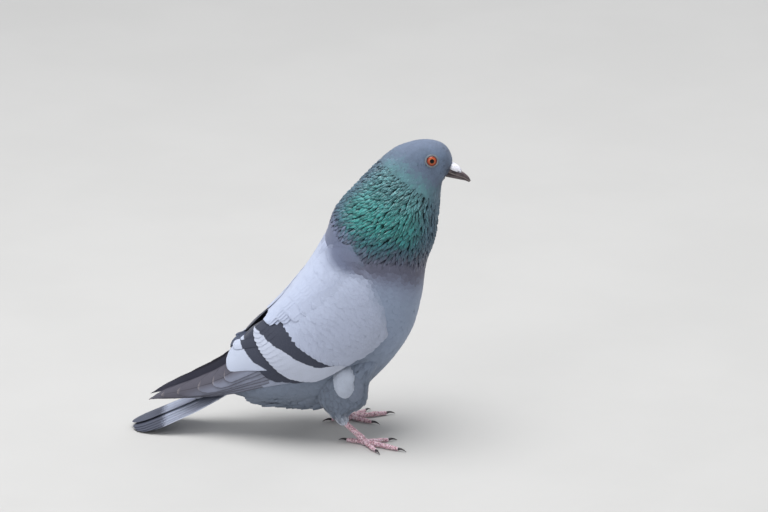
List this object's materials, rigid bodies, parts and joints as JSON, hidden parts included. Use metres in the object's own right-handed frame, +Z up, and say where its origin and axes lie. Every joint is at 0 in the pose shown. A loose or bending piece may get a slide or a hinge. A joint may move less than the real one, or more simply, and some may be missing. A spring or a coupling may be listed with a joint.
{
  "type": "standing rock pigeon",
  "caption": "Life-size rock pigeon standing upright and alert in profile, wings folded, its tail tip touching the floor behind.",
  "frame": {"origin": "middle of the footprint, on the floor", "axes": "+X the way the bird faces, +Y its left side, +Z up"},
  "size_m": [0.2644, 0.1054, 0.2417],
  "materials": {
    "body": "matte feathers",
    "neck": "iridescent feathers",
    "head": "matte feathers",
    "wing": "matte feathers",
    "tail": "matte feathers",
    "eye": "wet gloss",
    "bill": "satin horn",
    "cere": "powdery skin",
    "leg": "scaly skin",
    "claw": "satin horn"
  },
  "bodies": {
    "root": {"bill_lower": "bill", "bill_upper": "bill", "cere": "cere", "claw_left_hind": "claw", "claw_left_inner": "claw", "claw_left_middle": "claw", "claw_left_outer": "claw", "claw_right_hind": "claw", "claw_right_inner": "claw", "claw_right_middle": "claw", "claw_right_outer": "claw", "eye_left": "eye", "eye_right": "eye", "foot_left": "leg", "foot_right": "leg", "head": "head", "neck": "neck", "shank_left": "leg", "shank_right": "leg", "tail": "tail", "thigh_left": "body", "thigh_right": "body", "torso": "body", "wing_left": "wing", "wing_right": "wing"}
  },
  "joints": []
}
